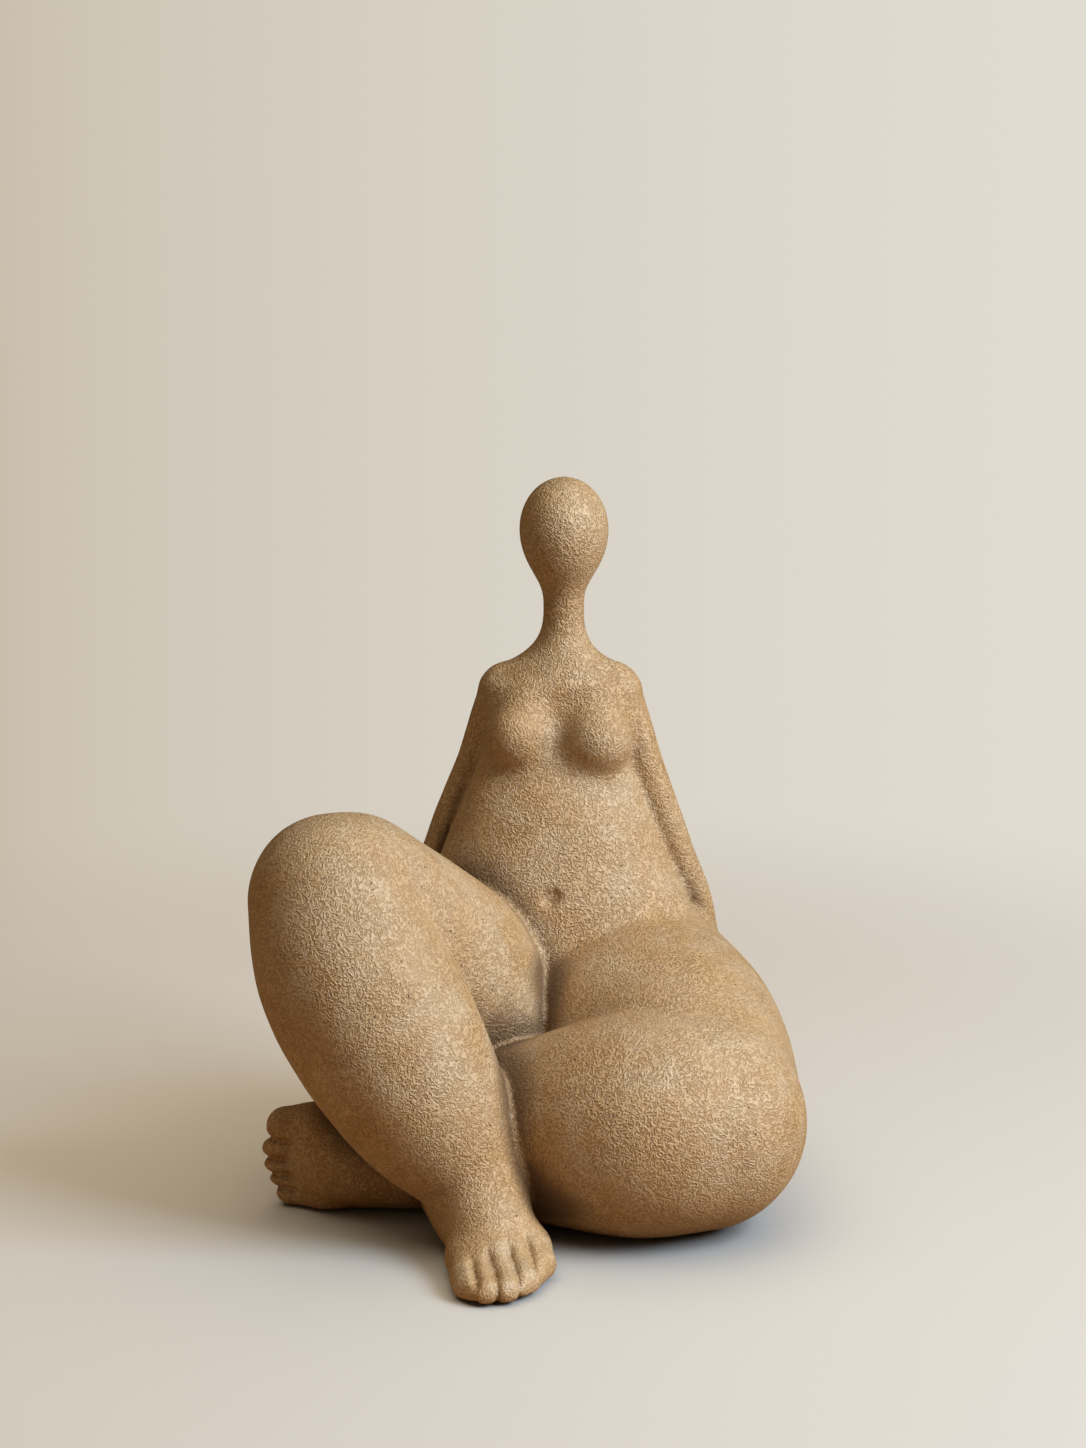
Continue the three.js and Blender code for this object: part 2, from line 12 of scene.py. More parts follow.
import bmesh
import bpy
import numpy as np
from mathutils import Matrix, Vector, noise


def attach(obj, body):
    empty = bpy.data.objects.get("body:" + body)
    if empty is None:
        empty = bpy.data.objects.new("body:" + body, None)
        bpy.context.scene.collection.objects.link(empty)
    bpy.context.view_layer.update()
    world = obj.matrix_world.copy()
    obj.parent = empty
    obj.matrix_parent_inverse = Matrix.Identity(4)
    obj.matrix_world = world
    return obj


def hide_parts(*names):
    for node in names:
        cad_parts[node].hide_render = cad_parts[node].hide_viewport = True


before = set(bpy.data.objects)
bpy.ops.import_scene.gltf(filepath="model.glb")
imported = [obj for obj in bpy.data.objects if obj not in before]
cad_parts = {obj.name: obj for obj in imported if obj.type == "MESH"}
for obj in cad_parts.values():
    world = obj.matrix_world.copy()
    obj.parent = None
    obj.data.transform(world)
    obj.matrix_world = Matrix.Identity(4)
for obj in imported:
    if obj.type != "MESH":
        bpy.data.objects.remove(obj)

LOG = logging.getLogger("seated_woman")
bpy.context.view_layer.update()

MM = 0.001
# The masses have axes of their own: this place there, in millimetres, is the frame's origin.
MIDDLE = np.array([-5.2, 0.2, 0.0])

# The name under which each point of the skin keeps how sheltered it lies; the material paints shade in creases and
# hollows by it.
SHELTER = "shelter"

Row = tuple[float, ...]
Rows = tuple[Row, ...]
Distance = Callable[[np.ndarray], np.ndarray]


def read_rows(items: bpy.types.bpy_prop_collection, name: str) -> np.ndarray:
    """Reads three numbers of each item of a mesh.

    Args:
        items: The items, such as a mesh's points.
        name: What is read of each.

    Returns:
        The numbers, one item to a row.
    """
    rows = np.empty(len(items) * 3)
    items.foreach_get(name, rows)
    return rows.reshape(-1, 3)


def join(a: np.ndarray, b: np.ndarray, width: float) -> np.ndarray:
    """Joins two masses that flow into each other.

    Args:
        a: Distances of some points from the first mass.
        b: Distances of the same points from the second mass.
        width: Over how many millimetres they flow together.

    Returns:
        The points' distances from both masses as one.
    """
    near = np.maximum(width - np.abs(a - b), 0) / width
    return np.minimum(a, b) - near * near * width / 4


def carve(a: np.ndarray, b: np.ndarray, width: float) -> np.ndarray:
    """Cuts one mass out of another.

    Args:
        a: Distances of some points from the mass that stays.
        b: Distances of the same points from the mass that is cut out.
        width: Over how many millimetres the edge is rounded.

    Returns:
        The points' distances from what is left.
    """
    return -join(-a, b, width)


def curve_at(rows: np.ndarray, place: float) -> np.ndarray:
    """Follows the smooth curve through rows of numbers.

    Args:
        rows: The rows that the curve passes through.
        place: Where on the curve, from 0 to 1.

    Returns:
        The row of numbers at that place.
    """
    spans = len(rows) - 1
    span = min(int(place * spans), spans - 1)
    u = place * spans - span
    a, b, c, d = (rows[min(max(span + step, 0), spans)] for step in (-1, 0, 1, 2))
    return b + 0.5 * u * ((c - a) + u * (2 * a - 5 * b + 4 * c - d) + u * u * (3 * b - a - 3 * c + d))


@dataclass
class Limb:
    """A rounded mass along a centre line.

    Attributes:
        joints: Rows of x, y, z and radius that the centre line passes through.
        per_span: How many round cones lie between two joints.
        rough: From how far outside its distance is only a rough one.
    """

    joints: Rows
    per_span: int = 14
    rough: float = 20.0
    balls: np.ndarray = field(init=False)
    centre: np.ndarray = field(init=False)
    reach: float = field(init=False)

    def __post_init__(self) -> None:
        """Lays the balls along the curve and notes how far they reach."""
        rows = np.array(self.joints, float)
        count = (len(rows) - 1) * self.per_span
        self.balls = np.array([curve_at(rows, i / count) for i in range(count + 1)])
        self.centre = (self.balls[0, :3] + self.balls[-1, :3]) / 2
        self.reach = float((np.linalg.norm(self.balls[:, :3] - self.centre, axis=1) + self.balls[:, 3]).max())

    @staticmethod
    def cone(points: np.ndarray, first: np.ndarray, last: np.ndarray) -> np.ndarray:
        """Measures from one round cone between two balls.

        Args:
            points: The points, one to a row.
            first: The first ball as x, y, z and radius.
            last: The last ball in the same way.

        Returns:
            The points' distances from the cone.
        """
        axis = last[:3] - first[:3]
        squared = axis @ axis
        taper = first[3] - last[3]
        flank = squared - taper * taper
        offset = points - first[:3]
        before = offset @ axis
        beyond = before - squared
        across = offset * squared - before[:, None] * axis
        apart = (across * across).sum(1)
        lean = np.sign(taper) * taper * taper * apart
        endwise = beyond * beyond * squared
        startwise = before * before * squared
        at_end = np.sign(beyond) * flank * endwise > lean
        at_start = np.sign(before) * flank * startwise < lean
        side = (np.sqrt(apart * flank / squared) + before * taper) / squared - first[3]
        start = np.sqrt(apart + startwise) / squared - first[3]
        return np.where(at_end, np.sqrt(apart + endwise) / squared - last[3], np.where(at_start, start, side))

    def distance(self, points: np.ndarray) -> np.ndarray:
        """Measures from the limb.

        Args:
            points: The points, one to a row.

        Returns:
            Their distances, negative inside.
        """
        found = np.linalg.norm(points - self.centre, axis=1) - self.reach
        near = found <= self.rough
        if near.any():
            close = points[near]
            least = np.full(len(close), np.inf)
            for first, last in zip(self.balls, self.balls[1:]):
                least = np.minimum(least, self.cone(close, first, last))
            found[near] = least
        return found


@dataclass
class Oval:
    """A squashed ball.

    Attributes:
        middle: Its middle, in millimetres.
        half: Its half width, depth and height.
    """

    middle: Row
    half: Row

    def distance(self, points: np.ndarray) -> np.ndarray:
        """Measures from the ball.

        Args:
            points: The points, one to a row.

        Returns:
            Their distances, negative inside.
        """
        place = (points - np.array(self.middle)) / np.array(self.half)
        scale = np.linalg.norm(place, axis=1)
        slope = np.linalg.norm(place / np.array(self.half), axis=1)
        return np.where(scale < 1e-6, -min(self.half), scale * (scale - 1) / np.maximum(slope, 1e-12))


@dataclass
class Trunk:
    """Oval sections from below the ground up to the neck.

    Attributes:
        levels: Rows of height, middle x, middle y, half width and half depth.
    """

    levels: Rows = (
        (-12, 6, 46, 50, 33), (30, 6, 46, 56, 36), (60, 6, 46, 56, 36), (93, 5, 47, 49.5, 31),
        (110, 4, 48.5, 43, 28), (132, 4.4, 50, 34.5, 22.5), (147, 5.2, 52.5, 29, 18),
        (161, 6.2, 54.5, 25.5, 15), (172, 6.7, 56, 20, 12), (180, 6.4, 56.5, 11, 9.5),
        (190, 7.2, 56.5, 7.6, 7.6), (205, 7.6, 55.5, 7.4, 7.4), (224, 7.6, 54, 7.4, 7.4),
    )
    steps: int = 400
    sections: np.ndarray = field(init=False)

    def __post_init__(self) -> None:
        """Works out one section for each millimetre of height."""
        levels = np.array(self.levels, float)
        rows = np.array([curve_at(levels, i / self.steps) for i in range(self.steps + 1)])
        heights = np.arange(levels[0, 0], levels[-1, 0] + 1)
        self.sections = np.stack([np.interp(heights, rows[:, 0], rows[:, n]) for n in range(5)], 1)

    def distance(self, points: np.ndarray) -> np.ndarray:
        """Measures from the trunk.

        Args:
            points: The points, one to a row.

        Returns:
            Their distances, negative inside.
        """
        bottom, top = self.levels[0][0], self.levels[-1][0]
        level = np.clip(points[:, 2] - bottom, 0, top - bottom - 1e-3)
        index = level.astype(int)
        share = (level - index)[:, None]
        low, high = self.sections[index], self.sections[index + 1]
        row = low * (1 - share) + high * share
        across = (points[:, 0] - row[:, 1]) / row[:, 3]
        along = (points[:, 1] - row[:, 2]) / row[:, 4]
        scale = np.hypot(across, along)
        grow = high[:, 3] - low[:, 3]
        slope = np.sqrt((across / row[:, 3]) ** 2 + (along / row[:, 4]) ** 2 + (scale * grow / row[:, 3]) ** 2)
        side = scale * (scale - 1) / np.maximum(slope, 1e-12)
        side = np.where(scale < 1e-6, -np.minimum(row[:, 3], row[:, 4]), side)
        return np.maximum(side, np.maximum(points[:, 2] - top, bottom - points[:, 2]))


@dataclass(frozen=True)
class SoftJoins:
    """Over how many millimetres the masses flow into each other."""

    head: float = 9
    neck: float = 19
    breast: float = 6
    arm: float = 2
    groin: float = 9
    buttock: float = 6
    hip: float = 5
    thigh: float = 2
    lap: float = 2.4
    foot: float = 5
    bars: float = 6
    web: float = 1.5
    spine: float = 6
    navel: float = 1.2
    floor: float = 3


@dataclass(frozen=True)
class ToeShape:
    """How toes and fingers run, and the clefts between them.

    Attributes:
        course: Rows of how far back from the end, the shares of the root's and the tip's place across, how high
            and how thick, in the toe's own radii.
        web: The width of the soft join between toes, in mean radii.
        depth: How deep a cleft is, in mean radii.
        half_width: Half the width of a cleft, in mean radii.
        deepens: Over how many millimetres a cleft reaches its depth.
        shallow: The share of its depth that it starts with.
        fades: Over how many millimetres it fades out at its end.
        above: Over how many millimetres above the sole it reaches its depth.
    """

    course: Rows = ((6, 0.8, 0, 1.45, 1.35), (3, 0.5, 0.5, 1.2, 1.15), (1, 0, 1, 0.95, 1))
    web: float = 0.95
    depth: float = 0.42
    half_width: float = 0.66
    deepens: float = 4
    shallow: float = 0.2
    fades: float = 4
    above: float = 2


class Side(Enum):
    """One of the figure's own sides, as the sign of x there."""

    LEFT = 1
    RIGHT = -1


@dataclass
class FootOrHand:
    """A foot or hand with its toes or fingers.

    Attributes:
        origin: Where it stands.
        along: Which way it points.
        across: Which way its thick toe or thumb lies.
        up: 1 or -1, the sign that turns its back away from the sole.
        sole: Rows of along, across, up and radius.
        ball: The ball of the foot in the same way.
        toes: Rows of length, across at the root, across at the tip, radius and length of the next cleft.
        past: How far the clefts run past the toes' ends.
        rims: The shares of the toes' thickness of the two bars across them, at the middle and near the ends.
    """

    origin: Row
    along: Row
    across: Row
    up: int
    sole: Rows
    ball: Rows
    toes: Rows
    past: float
    rims: Row = (0.86, 0.76)
    shape: ToeShape = ToeShape()
    joins: SoftJoins = SoftJoins()
    axes: np.ndarray = field(init=False)
    masses: list[Limb] = field(init=False)
    fingers: list[Limb] = field(init=False)
    across_bars: list[Limb] = field(init=False)

    def __post_init__(self) -> None:
        """Turns the rows into limbs where the foot stands."""
        along = np.array(self.along, float)
        along /= np.linalg.norm(along)
        across = np.array(self.across, float)
        across -= along * (along @ across)
        across /= np.linalg.norm(across)
        self.axes = np.stack([along, across, np.cross(along, across) * self.up])
        self.masses = [self.limb(self.sole), self.limb(self.ball)]
        courses = [self.toe_course(toe) for toe in self.toes]
        self.fingers = [self.limb(course, 8) for course in courses]
        self.across_bars = []
        for row, share in enumerate(self.rims, start=1):
            rows = tuple((*course[row][:3], course[row][3] * share) for course in courses)
            self.across_bars.append(self.limb(rows, 8))

    def limb(self, rows: Rows, per_span: int = 14) -> Limb:
        """Places a limb that is given along, across and up.

        Args:
            rows: Rows of along, across, up and radius.
            per_span: How many cones lie between two rows.

        Returns:
            The limb in the figure's axes.
        """
        origin = np.array(self.origin)
        return Limb(tuple((*(origin + np.array(row[:3]) @ self.axes), row[3]) for row in rows), per_span)

    def toe_course(self, toe: Row) -> Rows:
        """Lays a toe from its root to its end.

        Args:
            toe: Length, across at the root, across at the tip and radius, and the cleft's length.

        Returns:
            Rows of along, across, up and radius.
        """
        length, root, tip, radius = toe[:4]
        return tuple(
            (length - back * radius, from_root * root + from_tip * tip, high * radius, thick * radius)
            for back, from_root, from_tip, high, thick in self.shape.course
        )

    @property
    def size(self) -> float:
        """The mean radius of the toes."""
        return sum(toe[3] for toe in self.toes) / len(self.toes)

    def clefts(self, along: np.ndarray, across: np.ndarray) -> np.ndarray:
        """Finds how deep the clefts between toes are.

        Args:
            along: Places along the foot.
            across: The same points' places across it.

        Returns:
            The depth as a share from 0 to 1.
        """
        shape = self.shape
        deepest = np.zeros(len(along))
        for toe, beside in zip(self.toes[1:], self.toes):
            run = beside[4] + self.past
            start = (toe[0] + beside[0]) / 2 - beside[4]
            start_across, end_across = (toe[1] + beside[1]) / 2, (toe[2] + beside[2]) / 2
            reach = math.hypot(run, end_across - start_across)
            ahead, aside = run / reach, (end_across - start_across) / reach
            t = np.clip((along - start) * ahead + (across - start_across) * aside, 0, reach)
            off = np.hypot(along - start - ahead * t, across - start_across - aside * t)
            bump = np.maximum(1 - off / (shape.half_width * self.size), 0) ** 2
            depth = np.minimum(np.clip(t / shape.deepens, shape.shallow, 1), (reach - t) / shape.fades)
            deepest = np.maximum(deepest, bump * depth)
        return deepest

    def distance(self, points: np.ndarray) -> np.ndarray:
        """Measures from the foot or hand.

        Args:
            points: The points, one to a row.

        Returns:
            Their distances, negative inside.
        """
        sole, ball = (mass.distance(points) for mass in self.masses)
        ends = self.fingers[0].distance(points)
        for finger in self.fingers[1:]:
            ends = join(ends, finger.distance(points), self.shape.web * self.size)
        inner, outer = (bar.distance(points) for bar in self.across_bars)
        ends = join(ends, join(inner, outer, self.joins.bars), self.joins.web)
        found = join(join(sole, ball, self.joins.foot), ends, self.joins.foot)
        near = found <= self.size
        if near.any():
            along, across, up = ((points[near] - np.array(self.origin)) @ self.axes.T).T
            pressed = self.clefts(along, across) * np.clip(up / self.shape.above, 0, 1)
            found[near] += self.shape.depth * self.size * pressed
        return found


def hand(side: Side, x: float) -> FootOrHand:
    """Makes a hand that leans on the ground behind the hip.

    Args:
        side: Which of the figure's sides it is on.
        x: Where its wrist stands.

    Returns:
        The hand.
    """
    sign = side.value
    return FootOrHand(
        origin=(x, 90, 0), along=(0.45 * sign, 0.9, 0), across=(-sign, 0, 0), up=sign,
        sole=((0, 0, 8, 6.2), (8, 0, 5.5, 6)),
        ball=((12, -4, 4.3, 4.6), (13, 0, 4.6, 4.8), (12, 4, 4.4, 4.6)),
        toes=(
            (17, 8.2, 10, 3, 8), (25.5, 4.4, 5.4, 2.9, 12), (27, 0.9, 1.2, 2.9, 12), (26, -2.6, -3, 2.8, 11),
            (22, -5.8, -6.8, 2.6),
        ),
        past=3,
    )


@dataclass
class Leg:
    """A leg of two limbs and a foot, and the flesh beside the lap."""

    thigh: Rows
    calf: Rows
    groin: Rows
    foot: FootOrHand
    joins: SoftJoins = SoftJoins()
    limbs: list[Limb] = field(init=False)

    def __post_init__(self) -> None:
        """Makes the limbs."""
        self.limbs = [Limb(self.thigh), Limb(self.calf), Limb(self.groin)]

    def distance(self, points: np.ndarray) -> np.ndarray:
        """Measures from the leg.

        Args:
            points: The points, one to a row.

        Returns:
            Their distances, negative inside.
        """
        thigh, calf, groin = (limb.distance(points) for limb in self.limbs)
        bare = join(join(thigh, calf, self.joins.thigh), self.foot.distance(points), self.joins.foot)
        return join(bare, groin, self.joins.groin)


def raised_leg() -> Leg:
    """The figure's right leg, knee up, with its foot in front."""
    return Leg(
        thigh=((-35, 46, 46, 41.5), (-39.5, 8, 77, 37.6), (-67, -21, 115, 29.5)),
        groin=((-16, 26, 56, 18), (-12.7, -2, 63, 12.6)),
        calf=(
            (-72.3, -28.5, 116, 30), (-66.9, -38, 95, 32.6), (-55.5, -44, 74, 33), (-41, -50, 50, 28.5),
            (-24.5, -57, 27, 18.5), (-17.5, -73, 13, 13.5),
        ),
        foot=FootOrHand(
            origin=(-27, -45, 0), along=(0.19, -0.98, 0), across=(1, 0, 0), up=1,
            sole=((-6, -2.5, 13, 12.5), (14, 1, 13, 15), (30, 2.4, 11, 13)),
            ball=((37, -5.8, 7, 7.2), (43, 3, 8, 9), (36, 12.5, 8, 9)),
            toes=(
                (53, 16, 16.8, 5.6, 16.8), (64.4, 9.6, 9.9, 4.8, 20.5), (70.2, 2.6, 2.6, 4.7, 21.3),
                (70.2, -4.6, -5.2, 4.4, 16.3), (64.3, -9.6, -10, 3.9),
            ),
            past=2.5,
            rims=(0.9, 0.97),
        ),
    )


def folded_leg() -> Leg:
    """The figure's left leg, flat on the ground, with its foot on the little-toe side behind the other shin."""
    return Leg(
        thigh=((33, 44, 50.5, 46), (44.5, 6, 48, 44), (54, -36, 38.5, 37.5)),
        groin=((14, 38, 57, 30), (27, 12, 56, 31.5)),
        calf=(
            (54, -38, 38.5, 37.5), (33, -42, 39, 39), (5, -29.5, 33.2, 33.2), (-20, -15, 27, 26.5),
            (-46, -16, 18, 17),
        ),
        foot=FootOrHand(
            origin=(-38, -6, 17.5), along=(-1, -0.08, 0), across=(0, 0, 1), up=-1,
            sole=((0, -2.4, 9, 14.9), (20, -0.1, 9.5, 17.2), (34, 0.4, 9, 16.3)),
            ball=((40, -9.8, 8.5, 8.8), (41, 0, 9, 9.5), (42, 10.2, 9, 9.8)),
            toes=(
                (60.9, 12.4, 12.6, 6.8, 12), (62.4, 4, 3.6, 4.8, 11), (61.6, -2.2, -2.8, 4.6, 11),
                (59.2, -7.8, -8.6, 4.4, 10), (56.7, -13, -13.3, 5.1),
            ),
            past=5,
        ),
    )


@dataclass
class Form:
    """The whole figure as one field of distances, in the masses' axes and in millimetres."""

    joins: SoftJoins = SoftJoins()
    trunk: Trunk = field(default_factory=Trunk)
    head: Oval = field(default_factory=lambda: Oval((7.6, 54, 232.8), (16.2, 17, 19.5)))
    shoulders: Rows = ((-12.7, 57.5, 174.4, 8), (6.7, 56.5, 176, 9), (25.5, 56.5, 174.4, 8))
    breasts: tuple[Rows, ...] = (
        ((-5, 49, 170, 7.5), (-9.2, 42.3, 158.7, 11.3)),
        ((18.5, 48.5, 169, 8), (20.2, 41, 157.8, 12)),
    )
    arms: tuple[Rows, ...] = (
        (
            (26.6, 56, 174, 8.9), (31.3, 54, 164, 7.6), (36.8, 52.5, 148.5, 6.8), (42.5, 52, 132.5, 6.6),
            (49.2, 54, 113.5, 6.4), (57, 61, 91.5, 6.3), (62, 76, 62, 6), (65, 86, 38, 5.8), (67, 93, 16, 5.6),
        ),
        (
            (-14.4, 58, 174, 8.5), (-19.2, 60, 163, 7.4), (-25, 62.5, 147, 6.4), (-31.6, 64.5, 131, 6.1),
            (-38.6, 67, 112, 6), (-45, 71, 91, 6), (-50, 79, 62, 6), (-53, 87, 38, 5.8), (-55, 93, 16, 5.6),
        ),
    )
    buttocks: tuple[Oval, ...] = (Oval((33, 60, 34), (34, 34, 36)), Oval((-21, 60, 34), (34, 34, 36)))
    spine: Rows = (
        (6.5, 74, 168, 5), (5.2, 75.7, 147, 6), (4.4, 77.7, 132, 6), (4, 81.7, 110, 6), (5, 83.5, 94, 5),
    )
    navel: Rows = ((3.9, 17.6, 104.9, 3.3), (2.3, 17.6, 103.6, 3.3))
    steps: list[tuple[Distance, float]] = field(init=False)

    def __post_init__(self) -> None:
        """Lines up the masses that join the trunk one after another."""
        joins = self.joins
        self.steps = [(self.head.distance, joins.head), (Limb(self.shoulders).distance, joins.neck)]
        self.steps += [(Limb(rows).distance, joins.breast) for rows in self.breasts]
        self.steps += [(Limb(rows, 8).distance, joins.arm) for rows in self.arms]
        self.steps += [(hand(*place).distance, joins.arm) for place in ((Side.LEFT, 67), (Side.RIGHT, -55))]
        self.steps += [(mass.distance, joins.buttock) for mass in self.buttocks]
        self.carved = [(Limb(self.spine), joins.spine), (Limb(self.navel), joins.navel)]
        self.legs = [folded_leg(), raised_leg()]

    def distance(self, points: np.ndarray) -> np.ndarray:
        """Measures from the figure.

        Args:
            points: The points, one to a row.

        Returns:
            Their distances, negative inside.
        """
        found = self.trunk.distance(points)
        for mass, width in self.steps:
            found = join(found, mass(points), width)
        for furrow, width in self.carved:
            found = carve(found, furrow.distance(points), width)
        for leg, width in zip(self.legs, (self.joins.hip, self.joins.lap)):
            found = join(found, leg.distance(points), width)
        return carve(found, points[:, 2], self.joins.floor)

    def settled(self, points: np.ndarray, turns: int, reach: float) -> np.ndarray:
        """Moves points onto the skin, and those that lie on the ground exactly onto it.

        Args:
            points: The points, one to a row.
            turns: How many times they are moved.
            reach: How far a point may move in one turn.

        Returns:
            The moved points.
        """
        step = 0.05
        ground = 0.05
        for _ in range(turns):
            value = self.distance(points)
            slopes = np.stack([self.distance(points + axis * step) - value for axis in np.eye(3)], 1) / step
            size = np.maximum(np.linalg.norm(slopes, axis=1), 1e-6)
            back = np.clip(value / size, -reach, reach) / size
            points = points - slopes * back[:, None]
        points[points[:, 2] < ground, 2] = 0
        return points


class NodeBench:
    """Adds shader nodes to a material and links them."""

    def __init__(self, material: bpy.types.Material) -> None:
        """Starts from the material's own shader.

        Args:
            material: The material, with its nodes in use.
        """
        self.tree = material.node_tree
        self.shader = self.tree.nodes["Principled BSDF"]
        self.place = self.tree.nodes.new("ShaderNodeTexCoord").outputs["Object"]

    def feed(self, socket: bpy.types.NodeSocket, value: object) -> None:
        """Links a socket into another one, or sets it to a number or a colour.

        Args:
            socket: The socket that is fed.
            value: A socket, a number, or a row of numbers.
        """
        if isinstance(value, bpy.types.NodeSocket):
            self.tree.links.new(value, socket)
        elif isinstance(value, tuple) and socket.type == "RGBA":
            socket.default_value = (*value, 1)
        else:
            socket.default_value = value

    def noise(self, size: float, detail: float, distortion: float, shift: float) -> bpy.types.NodeSocket:
        """Makes a noise.

        Args:
            size: The size of its features, in millimetres.
            detail: How many finer noises it holds.
            distortion: How far it is bent.
            shift: Where it starts, so that no two noises match.

        Returns:
            Its value.
        """
        mapping = self.tree.nodes.new("ShaderNodeMapping")
        self.feed(mapping.inputs["Location"], (shift, shift * 0.7, -shift))
        self.feed(mapping.inputs["Vector"], self.place)
        texture = self.tree.nodes.new("ShaderNodeTexNoise")
        self.feed(texture.inputs["Scale"], 1 / (size * MM))
        self.feed(texture.inputs["Detail"], detail)
        self.feed(texture.inputs["Distortion"], distortion)
        self.feed(texture.inputs["Vector"], mapping.outputs["Vector"])
        return texture.outputs["Fac"]

    def spread(self, value: object, low: float, high: float) -> bpy.types.NodeSocket:
        """Spreads a stretch of a value smoothly over 0 to 1.

        Args:
            value: The value.
            low: Where the stretch starts.
            high: Where it ends.

        Returns:
            The spread value.
        """
        step = self.tree.nodes.new("ShaderNodeMapRange")
        step.interpolation_type = "SMOOTHSTEP"
        self.feed(step.inputs["From Min"], low)
        self.feed(step.inputs["From Max"], high)
        self.feed(step.inputs["Value"], value)
        return step.outputs["Result"]

    def work_out(self, operation: str, *values: object) -> bpy.types.NodeSocket:
        """Does a sum.

        Args:
            operation: The kind of sum.
            values: What goes into it.

        Returns:
            Its result.
        """
        node = self.tree.nodes.new("ShaderNodeMath")
        node.operation = operation
        for socket, value in zip(node.inputs, values):
            self.feed(socket, value)
        return node.outputs[0]

    def blend(self, share: object, below: object, above: object, kind: str = "MIX") -> bpy.types.NodeSocket:
        """Lays one colour over another.

        Args:
            share: How much of the upper one is seen.
            below: The lower colour.
            above: The upper colour.
            kind: How they are mixed.

        Returns:
            The mixed colour.
        """
        mix = self.tree.nodes.new("ShaderNodeMix")
        mix.data_type = "RGBA"
        mix.blend_type = kind
        self.feed(mix.inputs["Factor"], share)
        self.feed(mix.inputs[6], below)
        self.feed(mix.inputs[7], above)
        return mix.outputs[2]

    def within(self, centre: Row, reach: float) -> bpy.types.NodeSocket:
        """Fades out with the distance from a place.

        Args:
            centre: The place in the frame, in millimetres.
            reach: How far away nothing is left, in millimetres.

        Returns:
            1 near the place and 0 away from it.
        """
        distance = self.tree.nodes.new("ShaderNodeVectorMath")
        distance.operation = "DISTANCE"
        self.feed(distance.inputs[0], self.place)
        self.feed(distance.inputs[1], tuple(value * MM for value in centre))
        return self.spread(distance.outputs["Value"], reach * MM, reach * MM * 0.25)

    def relief(self, height: bpy.types.NodeSocket, under: object = None) -> bpy.types.NodeSocket:
        """Turns a height in metres into the direction that the surface faces.

        Args:
            height: The height.
            under: The direction before, if there is one.

        Returns:
            The new direction.
        """
        bump = self.tree.nodes.new("ShaderNodeBump")
        self.feed(bump.inputs["Strength"], 1.0)
        self.feed(bump.inputs["Distance"], 1.0)
        self.feed(bump.inputs["Height"], height)
        if under is not None:
            self.feed(bump.inputs["Normal"], under)
        return bump.outputs["Normal"]


